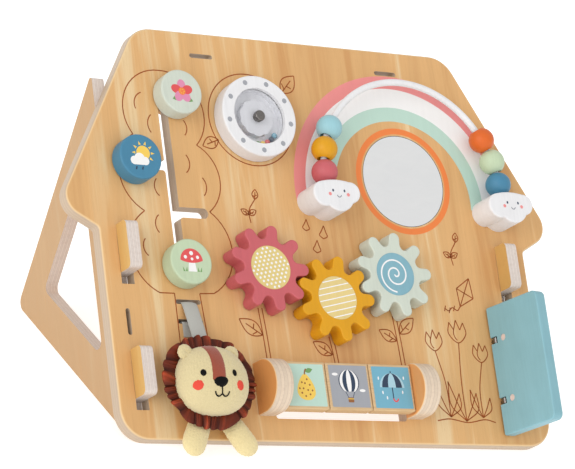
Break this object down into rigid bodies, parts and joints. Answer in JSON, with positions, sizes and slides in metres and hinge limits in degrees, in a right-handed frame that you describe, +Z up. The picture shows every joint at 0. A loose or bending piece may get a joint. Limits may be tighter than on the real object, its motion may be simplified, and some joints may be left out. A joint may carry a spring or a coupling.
{
  "type": "busy house",
  "caption": "House-shaped wooden activity board on hooked legs, with meshed gears, slider knobs, rattle, bead arch, flip tiles, door, mirror and a plush lion on a strap.",
  "frame": {"origin": "centre of the bounding box's base, on the floor that the legs and the panel's lower edge stand on", "axes": "+X to the right as seen from the front, +Y from the front to the back, +Z up; the panel leans back 45 degrees"},
  "size_m": [0.4282, 0.2619, 0.2306],
  "materials": {
    "panel_wood": "clear satin varnish on plywood",
    "leg_wood": "clear satin varnish on plywood",
    "mirror": "acrylic mirror",
    "white_wire": "white powder coat",
    "white_paint": "satin painted plywood",
    "red_paint": "satin painted plywood",
    "yellow_paint": "satin painted plywood",
    "light_blue_paint": "satin painted plywood",
    "blue_paint": "satin painted plywood",
    "green_paint": "satin painted plywood",
    "orange_paint": "satin painted plywood",
    "mint_paint": "satin painted plywood",
    "cream_paint": "satin painted plywood",
    "teal_paint": "satin painted plywood",
    "steel": "zinc plated",
    "clear_pane": "clear acrylic",
    "shot": "mixed bright colours",
    "washer_plastic": "natural nylon",
    "lion_plush": "short cream plush",
    "mane_felt": "gathered rust-brown fabric",
    "ribbon": "woven grey ribbon"
  },
  "bodies": {
    "house": {"front_panel": "panel_wood", "leg_left": "leg_wood", "leg_right": "leg_wood", "mirror_disc": "mirror", "rainbow_wire": "white_wire", "cloud_left": "white_paint", "cloud_right": "white_paint", "cloud_screws": "steel", "gear_axles": "leg_wood", "gear_axle_screws": "steel", "gear_washers": "washer_plastic", "rattle_bolt": "steel", "rattle_washers": "washer_plastic", "rattle_nut": "steel", "bracket_left": "leg_wood", "bracket_right": "leg_wood", "bracket_screws": "steel", "tile_rod": "leg_wood", "door_eyes": "steel", "lion_strap_loop": "ribbon"},
    "rattle": {"rattle_rim": "white_paint", "rattle_cup": "white_paint", "rattle_pane": "clear_pane", "rattle_hub": "white_paint", "rattle_shot": "shot"},
    "gear_red": {"gear_red": "red_paint", "gear_face_red": "yellow_paint"},
    "gear_yellow": {"gear_yellow": "yellow_paint", "gear_face_yellow": "cream_paint"},
    "gear_mint": {"gear_mint": "mint_paint", "gear_face_mint": "light_blue_paint"},
    "tile_left": {"tile_left": "leg_wood"},
    "tile_middle": {"tile_middle": "leg_wood"},
    "tile_right": {"tile_right": "leg_wood"},
    "door": {"door_panel": "teal_paint", "door_pins": "steel", "door_rivets": "steel"},
    "knob_mint": {"knob_mint": "mint_paint", "knob_retainer_mint": "leg_wood", "knob_screw_mint": "steel"},
    "knob_blue": {"knob_blue": "blue_paint", "knob_retainer_blue": "leg_wood", "knob_screw_blue": "steel"},
    "knob_green": {"knob_green": "green_paint", "knob_retainer_green": "leg_wood", "knob_screw_green": "steel"},
    "bead_red": {"bead_red": "red_paint"},
    "bead_yellow": {"bead_yellow": "yellow_paint"},
    "bead_light_blue": {"bead_light_blue": "light_blue_paint"},
    "bead_blue": {"bead_blue": "blue_paint"},
    "bead_green": {"bead_green": "green_paint"},
    "bead_orange": {"bead_orange": "orange_paint"},
    "lion": {"lion_head": "lion_plush", "lion_mane": "mane_felt", "lion_ear_left": "lion_plush", "lion_ear_right": "lion_plush", "lion_leg_left": "lion_plush", "lion_leg_right": "lion_plush", "lion_strap": "ribbon"}
  },
  "joints": [
    {"name": "rattle_spin", "type": "hinge", "parent": "house", "child": "rattle", "pos_m": [-0.0466, 0.07071, 0.18809], "axis": [0, -0.7071, 0.7071], "continuous": true},
    {"name": "gear_red_spin", "type": "hinge", "parent": "house", "child": "gear_red", "pos_m": [-0.0555, -0.01506, 0.10373], "axis": [0, -0.7071, 0.7071], "continuous": true},
    {"name": "gear_yellow_spin", "type": "hinge", "parent": "house", "child": "gear_yellow", "pos_m": [0, -0.02998, 0.08881], "axis": [0, -0.7071, 0.7071], "continuous": true},
    {"name": "gear_mint_spin", "type": "hinge", "parent": "house", "child": "gear_mint", "pos_m": [0.0555, -0.01506, 0.10373], "axis": [0, -0.7071, 0.7071], "continuous": true},
    {"name": "tile_left_flip", "type": "hinge", "parent": "house", "child": "tile_left", "pos_m": [-0.0382, -0.07912, 0.04165], "axis": [1, 0, 0], "continuous": true},
    {"name": "tile_middle_flip", "type": "hinge", "parent": "house", "child": "tile_middle", "pos_m": [0, -0.07912, 0.04165], "axis": [1, 0, 0], "continuous": true},
    {"name": "tile_right_flip", "type": "hinge", "parent": "house", "child": "tile_right", "pos_m": [0.0382, -0.07912, 0.04165], "axis": [1, 0, 0], "continuous": true},
    {"name": "door_swing", "type": "hinge", "parent": "house", "child": "door", "pos_m": [0.149, -0.06201, 0.05141], "axis": [0, 0.7071, 0.7071], "range_deg": [-100, 0]},
    {"name": "knob_mint_slide", "type": "slide", "parent": "house", "child": "knob_mint", "axis": [1, 0, 0], "range_m": [-0.0097, 0.0146]},
    {"name": "knob_blue_slide", "type": "slide", "parent": "house", "child": "knob_blue", "axis": [1, 0, 0], "range_m": [0, 0.0318]},
    {"name": "knob_green_slide", "type": "slide", "parent": "house", "child": "knob_green", "axis": [0, 0.7071, 0.7071], "range_m": [0, 0.04]},
    {"name": "bead_red_run", "type": "hinge", "parent": "house", "child": "bead_red", "pos_m": [0.0862, 0.03571, 0.16157], "axis": [0, -0.7071, 0.7071], "range_deg": [-17, 0]},
    {"name": "bead_yellow_run", "type": "hinge", "parent": "bead_red", "child": "bead_yellow", "pos_m": [0.0862, 0.03571, 0.16157], "axis": [0, -0.7071, 0.7071], "range_deg": [-17, 0]},
    {"name": "bead_light_blue_run", "type": "hinge", "parent": "bead_yellow", "child": "bead_light_blue", "pos_m": [0.0862, 0.03571, 0.16157], "axis": [0, -0.7071, 0.7071], "range_deg": [-17, 0]},
    {"name": "bead_blue_run", "type": "hinge", "parent": "house", "child": "bead_blue", "pos_m": [0.0862, 0.03571, 0.16157], "axis": [0, -0.7071, 0.7071], "range_deg": [0, 17]},
    {"name": "bead_green_run", "type": "hinge", "parent": "bead_blue", "child": "bead_green", "pos_m": [0.0862, 0.03571, 0.16157], "axis": [0, -0.7071, 0.7071], "range_deg": [0, 17]},
    {"name": "bead_orange_run", "type": "hinge", "parent": "bead_green", "child": "bead_orange", "pos_m": [0.0862, 0.03571, 0.16157], "axis": [0, -0.7071, 0.7071], "range_deg": [0, 17]},
    {"name": "lion_lift", "type": "hinge", "parent": "house", "child": "lion", "pos_m": [-0.121, -0.02871, 0.08075], "axis": [-1, 0, 0], "range_deg": [0, 85]}
  ],
  "couplings": [
    {"joint": "gear_yellow_spin", "follows": "gear_red_spin", "ratio": -1},
    {"joint": "gear_mint_spin", "follows": "gear_red_spin", "ratio": 1}
  ]
}
